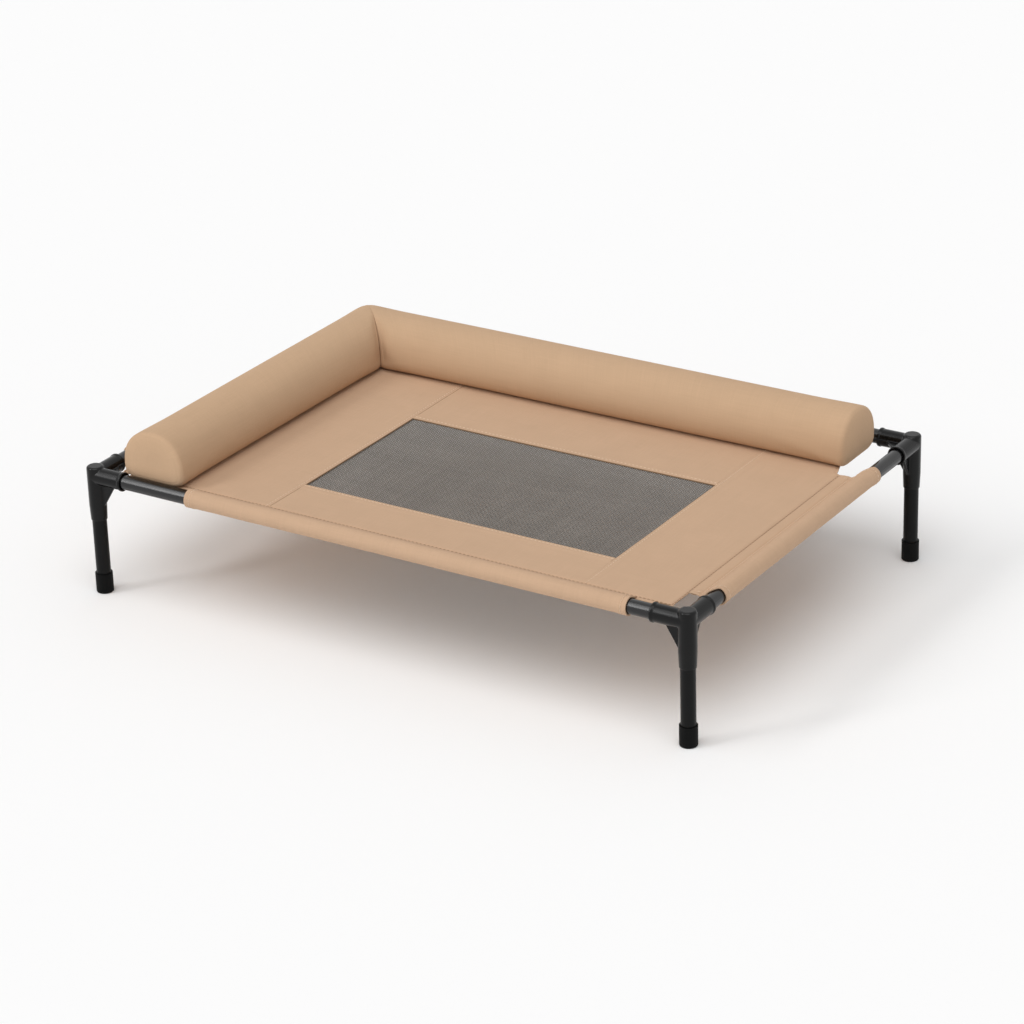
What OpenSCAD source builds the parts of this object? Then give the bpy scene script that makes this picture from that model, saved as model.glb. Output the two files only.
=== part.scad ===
// Raised dog cot: a push-fit tube frame on four legs, a taut fabric deck with a mesh window,
// and a stuffed bolster along the left and back sides.
// Millimetres, +Z up, +X along the length, -Y is the open front, and the floor is z = 0.

/* [Frame] */
// Length over the corner fittings
frame_l = 660; // [560:1:1000]
// Width over the corner fittings
frame_w = 450; // [400:1:800]
// Height of the tops of the corner posts
post_top = 131; // [115:1:220]

/* [Tubes] */
// Outside diameter of the rails and legs
tube_d = 14; // [12:0.5:18]
// Wall of the rails and legs
tube_wall = 1; // [0.6:0.1:2]

/* [Corner fittings] */
// Wall of the moulded sockets
socket_wall = 1.45; // [1.2:0.05:3]
// Wall at the mouth of a leg socket, where the post tapers
mouth_wall = 0.8; // [0.6:0.05:1.2]
// Length of a post
post_h = 55; // [48:1:70]
// Height of a post's top above its arms
cap_rise = 1.5; // [0.5:0.5:6]
// Rounding of a post's top edge
cap_edge = 2.5; // [1:0.5:4]
// Solid plastic between a leg socket and the arms
socket_floor = 4; // [2:0.5:8]
// Reach of an arm from the post's axis
arm_reach = 34; // [28:1:44]
// Solid plastic between the post's axis and a rail's end, beyond the tube's radius
arm_stop = 3; // [2:0.5:6]
// Height of the ring at an arm's mouth
lip_rise = 0.7; // [0.3:0.1:2]
// Width of the ring at an arm's mouth
lip_l = 2.5; // [1:0.5:5]
// Thickness of the ribs under and between the arms
rib_t = 3; // [2:0.5:5]
// Reach of a rib under an arm, out from the post
rib_out = 13; // [6:1:16]
// Drop of a rib under an arm, down the post
rib_drop = 21; // [10:1:25]

/* [Legs and feet] */
// Outside diameter of a foot
foot_d = 16.8; // [16.2:0.2:26]
// Height of a foot
foot_h = 20; // [12:1:30]
// Floor of a foot under its leg
foot_floor = 3; // [2:0.5:6]
// Rounding of a foot's bottom edge
foot_edge = 1.5; // [0.5:0.5:3]

/* [Deck] */
// Thickness of the fabric
fabric_t = 1; // [0.6:0.1:2]
// Height of the deck's top above the rails' axes
deck_rise = 3.65; // [1:0.05:6]
// Flat fabric between a front or back sleeve and its stitching
side_flap = 4; // [3:0.5:12]
// Flat fabric between a left or right sleeve and its stitching
end_flap = 13.5; // [6:0.5:24]
// Width of the band where a sleeve's two layers are sewn together
sewn_band = 2; // [1:0.5:2.5]
// Bare front rail at the left, from the post's axis to the sleeve
front_bare_left = 110; // [60:1:140]
// Bare rail at the other ends of the front and back sleeves
side_bare = 57; // [45:1:90]
// Bare left and right rail at the front
end_bare_front = 54; // [50:1:90]
// Bare left and right rail at the back
end_bare_back = 83; // [62:1:100]
// Rounding of the front corner of a left or right sleeve's flap
flap_round = 12; // [6:1:20]
// Depth of the scoop in the deck's edge, where the right sleeve ends at the back
deck_scoop = 6; // [4:0.5:10]

/* [Mesh window] */
// Length of the window
window_l = 336; // [200:1:400]
// Width of the window
window_w = 181; // [120:1:210]
// Place of the window's centre along the length
window_x = 39; // [0:1:60]
// Place of the window's centre across the width
window_y = -53; // [-70:1:-40]
// Thickness of the mesh
mesh_t = 0.6; // [0.4:0.1:1.2]
// Edge of the mesh sewn under the fabric
mesh_lap = 8; // [4:1:15]

/* [Bolster] */
// Width of the roll
roll_w = 66; // [45:1:80]
// Height of the roll above the deck
roll_h = 50.4; // [35:0.2:80]
// Height of the roll's widest part above the deck
roll_belly = 15; // [10:1:20]
// Thickness of the roll's cover
cover_t = 1.2; // [0.8:0.1:2]
// Deck left between the left roll and the left stitching
roll_margin_left = 12; // [4:1:30]
// Deck left between the back roll and the back stitching
roll_margin_back = 18; // [4:1:30]
// Deck left between the back roll's right end and the right stitching
roll_margin_right = 3; // [0:1:30]
// Rounding of the roll's end edge
end_round = 5; // [3:0.5:8]
// Outward swell of the end panels
end_swell = 1.5; // [0.5:0.5:4]
// Depth of the crease at the mitre seam
seam_dip = 0.6; // [0.3:0.1:3]

/* [Fits] */
// Clearance around a leg in its socket
leg_fit = 0.05; // [0.02:0.01:0.1]
// Clearance above a leg in its socket
leg_gap = 0.2; // [0.1:0.1:0.5]
// Clearance around a rail in its arm
rail_fit = 0.1; // [0.05:0.05:0.2]
// Clearance around a leg in its foot
foot_fit = 0.05; // [0.02:0.01:0.1]
// Clearance between a rail and its fabric sleeve
fabric_fit = 0.3; // [0.2:0.1:0.5]
// Clearance between the bolster's cover, end panels and filling
fill_fit = 0.3; // [0.2:0.1:0.5]

/* [Hidden] */
$fn = 64;

steel_color = "#232325";
plastic_color = "#262626";
rubber_color = "#1c1c1c";
fabric_color = "#c7a88b";
mesh_color = "#7d7872";
filling_color = "#f1efe9";

// Small overshoot that lets a cutting solid pass right through
cut = 1;
// Small overlap where a flat face runs into a round one
loop_tuck = 0.05;

// Frame sizes
tube_r = tube_d / 2;
post_r = tube_r + leg_fit + socket_wall;
mouth_r = tube_r + leg_fit + mouth_wall;
arm_r = tube_r + rail_fit + socket_wall;
lip_r = arm_r + lip_rise;
post_x = frame_l / 2 - lip_r;
post_y = frame_w / 2 - lip_r;
post_bottom = post_top - post_h;
rail_z = post_top - cap_rise - arm_r;
rail_stop = tube_r + arm_stop;
socket_top = rail_z - arm_r - socket_floor;
taper_top = rail_z - arm_r - rib_drop;

// Deck sizes
sleeve_bore_r = tube_r + fabric_fit;
sleeve_r = sleeve_bore_r + fabric_t;
side_hem = sleeve_r + side_flap;
end_hem = sleeve_r + end_flap;
stitch_x = post_x - end_hem;
stitch_y = post_y - side_hem;
deck_top = rail_z + deck_rise;
bare_edge_y = post_y - sqrt(pow(sleeve_bore_r, 2) - pow(deck_rise - fabric_t, 2));
window_left = window_x - window_l / 2;
window_right = window_x + window_l / 2;
window_front = window_y - window_w / 2;
window_back = window_y + window_w / 2;

// Bolster sizes. The rolls' axes cross at (roll_x, roll_y), where they are mitred together. The left
// roll's rounded front edge rests on the front rail.
roll_x = -stitch_x + roll_margin_left + roll_w / 2;
roll_y = stitch_y - roll_margin_back - roll_w / 2;
rest_reach = tube_r + fabric_fit + end_round;
rest_rise = deck_rise + end_round;
left_end_y = sqrt(pow(rest_reach, 2) - pow(rest_rise, 2)) - end_round - post_y;
back_end_x = stitch_x - roll_margin_right;
left_length = roll_y - left_end_y;
back_length = back_end_x - roll_x;
crown_power = 2.2;
base_power = 4;
base_flat = 1.05;
outline_steps = 32;
round_steps = 4;
crease_w = 8;

// Frame tubes
module tube(length) {
    difference() {
        cylinder(r = tube_r, h = length);
        translate([0, 0, -cut]) cylinder(r = tube_r - tube_wall, h = length + 2 * cut);
    }
}

module rail_along_x() {
    half = post_x - rail_stop;
    color(steel_color)
        translate([-half, 0, rail_z])
            rotate([0, 90, 0])
                tube(2 * half);
}

module rail_along_y() {
    half = post_y - rail_stop;
    color(steel_color)
        translate([0, half, rail_z])
            rotate([90, 0, 0])
                tube(2 * half);
}

module front_rail() { translate([0, -post_y, 0]) rail_along_x(); }
module back_rail() { translate([0, post_y, 0]) rail_along_x(); }
module left_rail() { translate([-post_x, 0, 0]) rail_along_y(); }
module right_rail() { translate([post_x, 0, 0]) rail_along_y(); }

// A corner fitting, drawn at its post's axis with the arms along +X and +Y
module post() {
    rotate_extrude() {
        polygon([
            [0, post_bottom],
            [mouth_r, post_bottom],
            [post_r, taper_top],
            [post_r, post_top - cap_edge],
            [post_r - cap_edge, post_top],
            [0, post_top]
        ]);
        translate([post_r - cap_edge, post_top - cap_edge]) circle(r = cap_edge);
    }
}

module arm() {
    translate([0, 0, rail_z])
        rotate([0, 90, 0]) {
            cylinder(r = arm_r, h = arm_reach);
            translate([0, 0, arm_reach - lip_l]) cylinder(r = lip_r, h = lip_l);
        }
}

module arm_bore() {
    translate([rail_stop, 0, rail_z])
        rotate([0, 90, 0])
            cylinder(r = tube_r + rail_fit, h = arm_reach);
}

module rib_under_arm() {
    foot_of_rib = rail_z - arm_r - rib_drop;
    translate([0, rib_t / 2, 0])
        rotate([90, 0, 0])
            linear_extrude(rib_t)
                polygon([
                    [0, rail_z],
                    [post_r + rib_out, rail_z],
                    [post_r + rib_out, rail_z - arm_r],
                    [post_r, foot_of_rib],
                    [0, foot_of_rib]
                ]);
}

module rib_between_arms() {
    reach = arm_reach - lip_l;
    translate([0, 0, rail_z - rib_t / 2])
        linear_extrude(rib_t)
            polygon([[0, 0], [reach, 0], [0, reach]]);
}

module corner_fitting() {
    color(plastic_color)
        difference() {
            union() {
                post();
                arm();
                rib_under_arm();
                mirror([1, -1, 0]) {
                    arm();
                    rib_under_arm();
                }
                rib_between_arms();
            }
            arm_bore();
            mirror([1, -1, 0]) arm_bore();
            translate([0, 0, post_bottom - cut])
                cylinder(r = tube_r + leg_fit, h = socket_top - post_bottom + cut);
        }
}

// Places a corner piece at a post. The signs are those of the corner's x and y.
module at_corner(sign_x, sign_y) {
    translate([sign_x * post_x, sign_y * post_y, 0])
        mirror([sign_x > 0 ? 1 : 0, 0, 0])
            mirror([0, sign_y > 0 ? 1 : 0, 0])
                children();
}

module corner_front_left() { at_corner(-1, -1) corner_fitting(); }
module corner_front_right() { at_corner(1, -1) corner_fitting(); }
module corner_back_left() { at_corner(-1, 1) corner_fitting(); }
module corner_back_right() { at_corner(1, 1) corner_fitting(); }

// Legs and feet, drawn at the post's axis
module leg() {
    color(steel_color)
        translate([0, 0, foot_floor])
            tube(socket_top - leg_gap - foot_floor);
}

module foot() {
    foot_r = foot_d / 2;
    color(rubber_color)
        difference() {
            rotate_extrude() {
                polygon([
                    [0, 0],
                    [foot_r - foot_edge, 0],
                    [foot_r, foot_edge],
                    [foot_r, foot_h],
                    [0, foot_h]
                ]);
                translate([foot_r - foot_edge, foot_edge]) circle(r = foot_edge);
            }
            translate([0, 0, foot_floor]) cylinder(r = tube_r + foot_fit, h = foot_h);
        }
}

module leg_front_left() { at_corner(-1, -1) leg(); }
module leg_front_right() { at_corner(1, -1) leg(); }
module leg_back_left() { at_corner(-1, 1) leg(); }
module leg_back_right() { at_corner(1, 1) leg(); }

module foot_front_left() { at_corner(-1, -1) foot(); }
module foot_front_right() { at_corner(1, -1) foot(); }
module foot_back_left() { at_corner(-1, 1) foot(); }
module foot_back_right() { at_corner(1, 1) foot(); }

// Deck panels between the lines of stitching, and the mesh sewn under their inner edges
module deck_piece(x_low, x_high, y_low, y_high) {
    color(fabric_color)
        translate([x_low, y_low, deck_top - fabric_t])
            cube([x_high - x_low, y_high - y_low, fabric_t]);
}

// Edge of the deck that runs on to the front rail, between an arm and a sleeve's end
module front_tab(x_low, x_high) {
    deck_piece(x_low + fabric_fit, x_high - fabric_fit, -bare_edge_y, cut - stitch_y);
}

module deck_left_panel() {
    union() {
        deck_piece(-stitch_x, window_left, -stitch_y, stitch_y);
        front_tab(arm_reach - post_x, front_bare_left - post_x);
    }
}

module deck_front_panel() { deck_piece(window_left, window_right, -stitch_y, window_front); }
module deck_back_panel() { deck_piece(window_left, window_right, window_back, stitch_y); }

// The right panel's edge is scooped where the right sleeve's stitching ends, and slants from there to
// the end of the back sleeve
module deck_right_panel() {
    scoop_y = post_y - end_bare_back - end_hem + deck_scoop;
    cut_low = deck_top - fabric_t - cut;
    cut_h = fabric_t + 2 * cut;
    color(fabric_color)
        difference() {
            union() {
                deck_piece(window_right, stitch_x, -stitch_y, stitch_y);
                front_tab(post_x - side_bare, post_x - arm_reach);
            }
            translate([stitch_x, scoop_y, cut_low]) cylinder(r = deck_scoop, h = cut_h);
            translate([0, 0, cut_low])
                linear_extrude(cut_h)
                    polygon([
                        [stitch_x + cut, scoop_y],
                        [stitch_x + cut, stitch_y + cut],
                        [post_x - side_bare, stitch_y + cut],
                        [post_x - side_bare, stitch_y],
                        [stitch_x - deck_scoop + loop_tuck, scoop_y]
                    ]);
        }
}

module mesh_window() {
    color(mesh_color)
        translate([window_left - mesh_lap, window_front - mesh_lap, deck_top - fabric_t - mesh_t])
            cube([window_l + 2 * mesh_lap, window_w + 2 * mesh_lap, mesh_t]);
}

// Point where a line from p meets a loop of radius r about the origin. The line runs a hair inside
// the loop's own edge, so that the two cross instead of only touching.
function tangent(p, r, side) =
    let (inner_r = r - loop_tuck, angle = atan2(p[1], p[0]) + side * acos(inner_r / norm(p)))
    [inner_r * cos(angle), inner_r * sin(angle)];

// A loop of fabric round a rail drawn along +Z, closed by stitching at x = -hem, level with the deck
module sleeve(hem, length) {
    upper = [-hem, deck_rise];
    lower = [-hem, deck_rise - fabric_t];
    pocket = [sewn_band - hem, deck_rise - fabric_t / 2];
    difference() {
        union() {
            cylinder(r = sleeve_r, h = length);
            linear_extrude(length)
                polygon([upper, tangent(upper, sleeve_r, -1), tangent(lower, sleeve_r, 1), lower]);
        }
        translate([0, 0, -cut]) {
            cylinder(r = sleeve_bore_r, h = length + 2 * cut);
            linear_extrude(length + 2 * cut)
                polygon([
                    pocket,
                    tangent(pocket, sleeve_bore_r, -1),
                    tangent(pocket, sleeve_bore_r, 1)
                ]);
        }
    }
}

module sleeve_along_x(x_low, x_high) {
    color(fabric_color)
        translate([x_low, post_y, rail_z])
            rotate([90, 0, 90])
                sleeve(side_hem, x_high - x_low);
}

module front_sleeve() {
    mirror([0, 1, 0]) sleeve_along_x(front_bare_left - post_x, post_x - side_bare);
}

module back_sleeve() { sleeve_along_x(side_bare - post_x, post_x - side_bare); }

// The right sleeve's flap has a rounded front corner and a scooped back corner
module end_sleeve() {
    front_y = end_bare_front - post_y;
    back_y = post_y - end_bare_back;
    flap_low = rail_z - sleeve_r - cut;
    flap_high = 2 * (sleeve_r + cut);
    color(fabric_color)
        difference() {
            translate([post_x, back_y, rail_z])
                rotate([90, 0, 0])
                    sleeve(end_hem, back_y - front_y + flap_round - loop_tuck);
            difference() {
                translate([post_x - flap_round, front_y - flap_round - cut, flap_low])
                    cube([flap_round + sleeve_r + cut, flap_round + cut, flap_high]);
                translate([post_x - flap_round, front_y, flap_low]) cylinder(r = flap_round, h = flap_high);
            }
            translate([stitch_x, back_y, flap_low]) cylinder(r = end_hem, h = flap_high);
        }
}

module right_sleeve() { end_sleeve(); }
module left_sleeve() { mirror([1, 0, 0]) end_sleeve(); }

// Section of the roll, drawn in by inset all round: a domed top on a flat base with soft corners.
// Each point is [offset across the roll, height above the deck].
function roll_outline(inset) = [
    for (step = [0 : outline_steps - 1])
        let (
            angle = 360 * step / outline_steps,
            power = angle <= 180 ? crown_power : base_power,
            rise = pow(abs(sin(angle)), 2 / power),
            across = (roll_w / 2 - inset) * sign(cos(angle)) * pow(abs(cos(angle)), 2 / power)
        )
        angle <= 180
            ? [across, roll_belly + (roll_h - roll_belly - inset) * rise]
            : [across, roll_belly - (roll_belly - inset) * min(1, base_flat * rise)]
];

// Rings of a roll drawn along +Y from its free end: at a depth from that end, or at a depth from
// the mitre seam, which cuts the roll at 45 degrees where its axis is length long
function ring_at_end(inset, depth) = [
    for (p = roll_outline(inset)) [p[0], depth, p[1]]
];

function ring_at_seam(length, inset, depth) = [
    for (p = roll_outline(inset)) [p[0], length - p[0] - depth, p[1]]
];

// All rings of one skin of a roll, the given distance under the cover's outside
function skin_rings(length, under, seam_gap) = [
    for (step = [0 : round_steps])
        let (angle = 90 * step / round_steps, radius = end_round - under)
        ring_at_end(end_round - radius * sin(angle), end_round - radius * cos(angle)),
    ring_at_seam(length, under, crease_w),
    ring_at_seam(length, under + seam_dip / 3, crease_w / 3),
    ring_at_seam(length, under + seam_dip, seam_gap)
];

function reversed(list) = [for (i = [len(list) - 1 : -1 : 0]) list[i]];

// A solid skinned over rings of points: a tube if the last ring joins the first, or else capped
module ring_solid(rings, looped) {
    n = len(rings[0]);
    m = len(rings);
    sides = [
        for (i = [0 : looped ? m - 1 : m - 2], k = [0 : n - 1])
            let (
                next_ring = (i + 1) % m * n,
                next_point = (k + 1) % n,
                a = i * n + k,
                b = i * n + next_point,
                c = next_ring + next_point,
                d = next_ring + k
            )
            each [[a, b, c], [a, c, d]]
    ];
    last = (m - 1) * n;
    caps = looped ? [] : [
        for (k = [1 : n - 2])
            each [[0, k + 1, k], [last, last + k, last + k + 1]]
    ];
    polyhedron([for (ring = rings) each ring], concat(sides, caps));
}

module roll_cover(length) {
    color(fabric_color)
        ring_solid(concat(skin_rings(length, 0, 0), reversed(skin_rings(length, cover_t, 0))), true);
}

module roll_end() {
    rim = end_round + fill_fit;
    color(fabric_color)
        ring_solid([
            ring_at_end((rim + roll_belly) / 2, -end_swell),
            ring_at_end(rim, 0),
            ring_at_end(rim, cover_t)
        ], false);
}

module roll_filling(length) {
    color(filling_color)
        ring_solid(skin_rings(length, cover_t + fill_fit, fill_fit), false);
}

// The left roll runs back from its front end, and the back roll runs left from its right end
module at_left_roll() { translate([roll_x, left_end_y, deck_top]) children(); }
module at_back_roll() { translate([back_end_x, roll_y, deck_top]) mirror([1, 1, 0]) children(); }

module left_bolster_cover() { at_left_roll() roll_cover(left_length); }
module left_bolster_end() { at_left_roll() roll_end(); }
module left_bolster_filling() { at_left_roll() roll_filling(left_length); }
module back_bolster_cover() { at_back_roll() roll_cover(back_length); }
module back_bolster_end() { at_back_roll() roll_end(); }
module back_bolster_filling() { at_back_roll() roll_filling(back_length); }

front_rail();
back_rail();
left_rail();
right_rail();
corner_front_left();
corner_front_right();
corner_back_left();
corner_back_right();
leg_front_left();
leg_front_right();
leg_back_left();
leg_back_right();
foot_front_left();
foot_front_right();
foot_back_left();
foot_back_right();
deck_left_panel();
deck_right_panel();
deck_front_panel();
deck_back_panel();
mesh_window();
front_sleeve();
back_sleeve();
left_sleeve();
right_sleeve();
left_bolster_cover();
back_bolster_cover();
left_bolster_end();
back_bolster_end();
left_bolster_filling();
back_bolster_filling();
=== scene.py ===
import math

import bmesh
import bpy
import numpy as np
from mathutils import Matrix, Vector, noise


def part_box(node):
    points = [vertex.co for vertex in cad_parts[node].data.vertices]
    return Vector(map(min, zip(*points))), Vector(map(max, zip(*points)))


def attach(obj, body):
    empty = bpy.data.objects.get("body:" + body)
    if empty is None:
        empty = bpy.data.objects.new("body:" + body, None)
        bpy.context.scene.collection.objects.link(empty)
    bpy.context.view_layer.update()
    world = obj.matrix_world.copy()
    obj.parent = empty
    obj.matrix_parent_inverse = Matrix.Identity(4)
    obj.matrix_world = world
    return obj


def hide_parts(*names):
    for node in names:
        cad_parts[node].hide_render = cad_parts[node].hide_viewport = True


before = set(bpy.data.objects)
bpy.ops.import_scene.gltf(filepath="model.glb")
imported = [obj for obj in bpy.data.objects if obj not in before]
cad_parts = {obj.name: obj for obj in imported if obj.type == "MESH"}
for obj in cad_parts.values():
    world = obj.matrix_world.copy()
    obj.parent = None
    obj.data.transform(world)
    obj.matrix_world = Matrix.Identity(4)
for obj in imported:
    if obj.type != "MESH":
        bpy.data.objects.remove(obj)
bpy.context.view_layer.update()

MM = 0.001
WELD = 0.002 * MM
SLIVER = 0.001 * MM
BODY = "cot_frame"
CORNERS = ("front_left", "front_right", "back_left", "back_right")

# Frame sizes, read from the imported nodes
front_rail_low, front_rail_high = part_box("front_rail")
right_rail_low, right_rail_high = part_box("right_rail")
RAIL_R = (front_rail_high.z - front_rail_low.z) / 2
RAIL_Z = (front_rail_high.z + front_rail_low.z) / 2
RAIL_X = (right_rail_high.x + right_rail_low.x) / 2
RAIL_Y = -(front_rail_high.y + front_rail_low.y) / 2

# Deck sizes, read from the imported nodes
left_panel_low, left_panel_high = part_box("deck_left_panel")
front_panel_low, front_panel_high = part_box("deck_front_panel")
back_panel_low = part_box("deck_back_panel")[0]
mesh_low, mesh_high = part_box("mesh_window")
STITCH_X = -left_panel_low.x
STITCH_Y = -front_panel_low.y
DECK_TOP = left_panel_high.z
FABRIC_T = left_panel_high.z - left_panel_low.z
WINDOW_LEFT = front_panel_low.x
WINDOW_RIGHT = front_panel_high.x
WINDOW_FRONT = front_panel_high.y
WINDOW_BACK = back_panel_low.y
SLEEVE_R = RAIL_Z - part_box("front_sleeve")[0].z

# Bolster sizes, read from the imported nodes
left_roll_low, left_roll_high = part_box("left_bolster_cover")
back_roll_low, back_roll_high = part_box("back_bolster_cover")
ROLL_W = left_roll_high.x - left_roll_low.x
ROLL_H = left_roll_high.z - left_roll_low.z
ROLL_X = (left_roll_low.x + left_roll_high.x) / 2
ROLL_Y = (back_roll_low.y + back_roll_high.y) / 2
LEFT_END_Y = left_roll_low.y
BACK_END_X = back_roll_high.x

# Cloth: how it hangs, and its hems
DECK_SAG = 1.6 * MM
DECK_SCOOP = 6 * MM
SCOOP_STEPS = 9
DECK_RIPPLE = 0.12 * MM
DECK_RIPPLE_SIZE = 45 * MM
HEM_W = 9 * MM
HEM_RISE = 0.3 * MM
HEM_UNDER = 0.6 * MM
HEM_STITCH = 3.4 * MM
HEM_FURROW = 0.12 * MM
EDGE_STITCH = 1.5 * MM
EDGE_FURROW = 0.85 * MM
FURROW_W = 1.4 * MM
EDGE_ROUND = 0.9 * MM
EDGE_PULL = 0.06 * MM
TAB_GAP = 0.3 * MM
TAB_SIDE = 0.2 * MM
TAB_STEPS = 6
CLOTH_STEP = 4 * MM
FINE_STEPS = np.array([0, 0.35, 0.8, 1.3, 1.9, 2.6, 3.4, 4.3, 5.4, 6.8, 7.8, 8.6, 9.4, 10.4, 12.5]) * MM

# Thread
STITCH_PITCH = 4.2 * MM
STITCH_L = 3.3 * MM
THREAD_R = 0.3 * MM


def smooth(x):
    """0 below 0, 1 above 1, and a smooth ramp between."""
    t = np.clip(x, 0, 1)
    return t * t * (3 - 2 * t)


NOISE_SHIFT = Vector((17.3, 5.1, 9.7))


def wander(points, size, seed):
    """Smooth noise from about -1 to 1 at each point, with lumps of the given size."""
    shift = NOISE_SHIFT * seed
    flat = np.asarray(points, float).reshape(-1, 3) / size
    values = [noise.noise(Vector(p) + shift) for p in flat]
    return np.array(values).reshape(np.shape(points)[:-1])


class Shell:
    """Grids of points that become one mesh, joined where their borders meet."""

    def __init__(self):
        self.points = []
        self.uvs = []
        self.faces = []
        self.tones = []
        self.count = 0

    def grid(self, points, uvs, tone=0):
        """Adds a grid of points, rows by columns, with its places on the flat cloth in metres."""
        rows, columns = points.shape[:2]
        index = self.count + np.arange(rows * columns).reshape(rows, columns)
        corners = (index[:-1, :-1], index[:-1, 1:], index[1:, 1:], index[1:, :-1])
        self.points.append(points.reshape(-1, 3))
        self.uvs.append(np.asarray(uvs, float).reshape(-1, 2))
        self.faces.append(np.stack(corners, axis=-1).reshape(-1, 4))
        self.tones.append(np.full((rows - 1) * (columns - 1), tone))
        self.count += rows * columns

    def mesh(self, name):
        points = np.concatenate(self.points)
        faces = np.concatenate(self.faces)
        uvs = np.concatenate(self.uvs)
        made = bpy.data.meshes.new(name)
        made.from_pydata(points.tolist(), [], faces.tolist())
        layer = made.uv_layers.new(name="cloth")
        layer.data.foreach_set("uv", uvs[faces.ravel()].ravel())
        made.polygons.foreach_set("material_index", np.concatenate(self.tones).astype(np.int32))
        tidy = bmesh.new()
        tidy.from_mesh(made)
        bmesh.ops.remove_doubles(tidy, verts=tidy.verts, dist=WELD)
        bmesh.ops.dissolve_degenerate(tidy, edges=tidy.edges, dist=SLIVER)
        bmesh.ops.recalc_face_normals(tidy, faces=tidy.faces)
        tidy.to_mesh(made)
        tidy.free()
        made.shade_smooth()
        return made


def add_piece(name, mesh, materials):
    piece = bpy.data.objects.new(name, mesh)
    while mesh.materials:
        mesh.materials.pop()
    for material in materials:
        mesh.materials.append(material)
    bpy.context.scene.collection.objects.link(piece)
    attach(piece, BODY)
    return piece


# Materials


class Finish:
    """A material with one Principled shader, and short ways to add and join nodes."""

    def __init__(self, name, **settings):
        self.material = bpy.data.materials.new(name)
        self.material.use_nodes = True
        self.tree = self.material.node_tree
        self.shader = self.tree.nodes["Principled BSDF"]
        for socket, value in settings.items():
            self.shader.inputs[socket.replace("_", " ")].default_value = value

    def add(self, kind, inputs=None, **properties):
        node = self.tree.nodes.new("ShaderNode" + kind)
        for name, value in properties.items():
            setattr(node, name, value)
        for key, value in (inputs or {}).items():
            self.put(value, node.inputs[key])
        return node

    def put(self, value, socket):
        if isinstance(value, bpy.types.NodeSocket):
            self.tree.links.new(value, socket)
        else:
            socket.default_value = value

    def math(self, operation, a, b=0.0):
        return self.add("Math", {0: a, 1: b}, operation=operation).outputs[0]

    def noise(self, vector, scale, detail=2.0, roughness=0.5):
        inputs = {"Vector": vector, "Scale": scale, "Detail": detail, "Roughness": roughness}
        return self.add("TexNoise", inputs).outputs["Fac"]

    def ramp(self, value, low, high):
        """Maps a noise value, which is mostly from 0.3 to 0.7, to a range."""
        inputs = {"Value": value, "From Min": 0.3, "From Max": 0.7, "To Min": low, "To Max": high}
        return self.add("MapRange", inputs, clamp=False).outputs["Result"]

    def tinted(self, colour, amount):
        """The colour, made lighter or darker by an amount about 1."""
        scaled = self.add("VectorMath", {0: colour, "Scale": amount}, operation="SCALE")
        return scaled.outputs["Vector"]

    def bump(self, height, distance, strength=1.0, normal=None):
        inputs = {"Height": height, "Distance": distance, "Strength": strength}
        node = self.add("Bump", inputs)
        if normal is not None:
            self.put(normal, node.inputs["Normal"])
        return node.outputs["Normal"]

    def set(self, socket, value):
        self.put(value, self.shader.inputs[socket])


def linear(red, green, blue):
    """A colour given as 0 to 255 values, in linear light."""
    channels = [c / 255 for c in (red, green, blue)]
    return tuple(c / 12.92 if c <= 0.04045 else ((c + 0.055) / 1.055) ** 2.4 for c in channels)


YARN_PITCH = 1.0 * MM
YARN_DEPTH = 0.16 * MM
YARN_GAP_PAINTED_SHADE = 0.10
YARN_LOW = 0.93
SLUB_SCALE = (18.0, 900.0)
SLUB_SHADE = 0.09
MOTTLE_SCALE = 38.0
MOTTLE = 0.015
FUZZ_SCALE = 2600.0
FUZZ_DEPTH = 0.05 * MM
CLOTH_PATCH = 160.0
CLOTH_ROUGHNESS = (0.84, 0.95)
STREAK_SCALE = (5.0, 430.0)
STREAK_SHADE = 0.4
CLOUD_SCALE = 25.0
CLOUD_SHADE = (0.94, 1.06)
COAT_PATCH = 500.0
COAT_ROUGHNESS = (0.52, 0.72)
COAT_SCALE = 3000.0
COAT_DEPTH = 0.06 * MM
TWIST_SCALE = 700.0
TWIST_GROOVE_PAINTED_SHADE = 0.16
TWIST_LOW = 0.9
TWIST_DEPTH = 0.08 * MM
RUB_SCALE = 90.0
RUB_SHADE = (0.88, 1.14)
GLOSS_SCALE = 140.0
GLOSS_SPAN = 0.03


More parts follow.
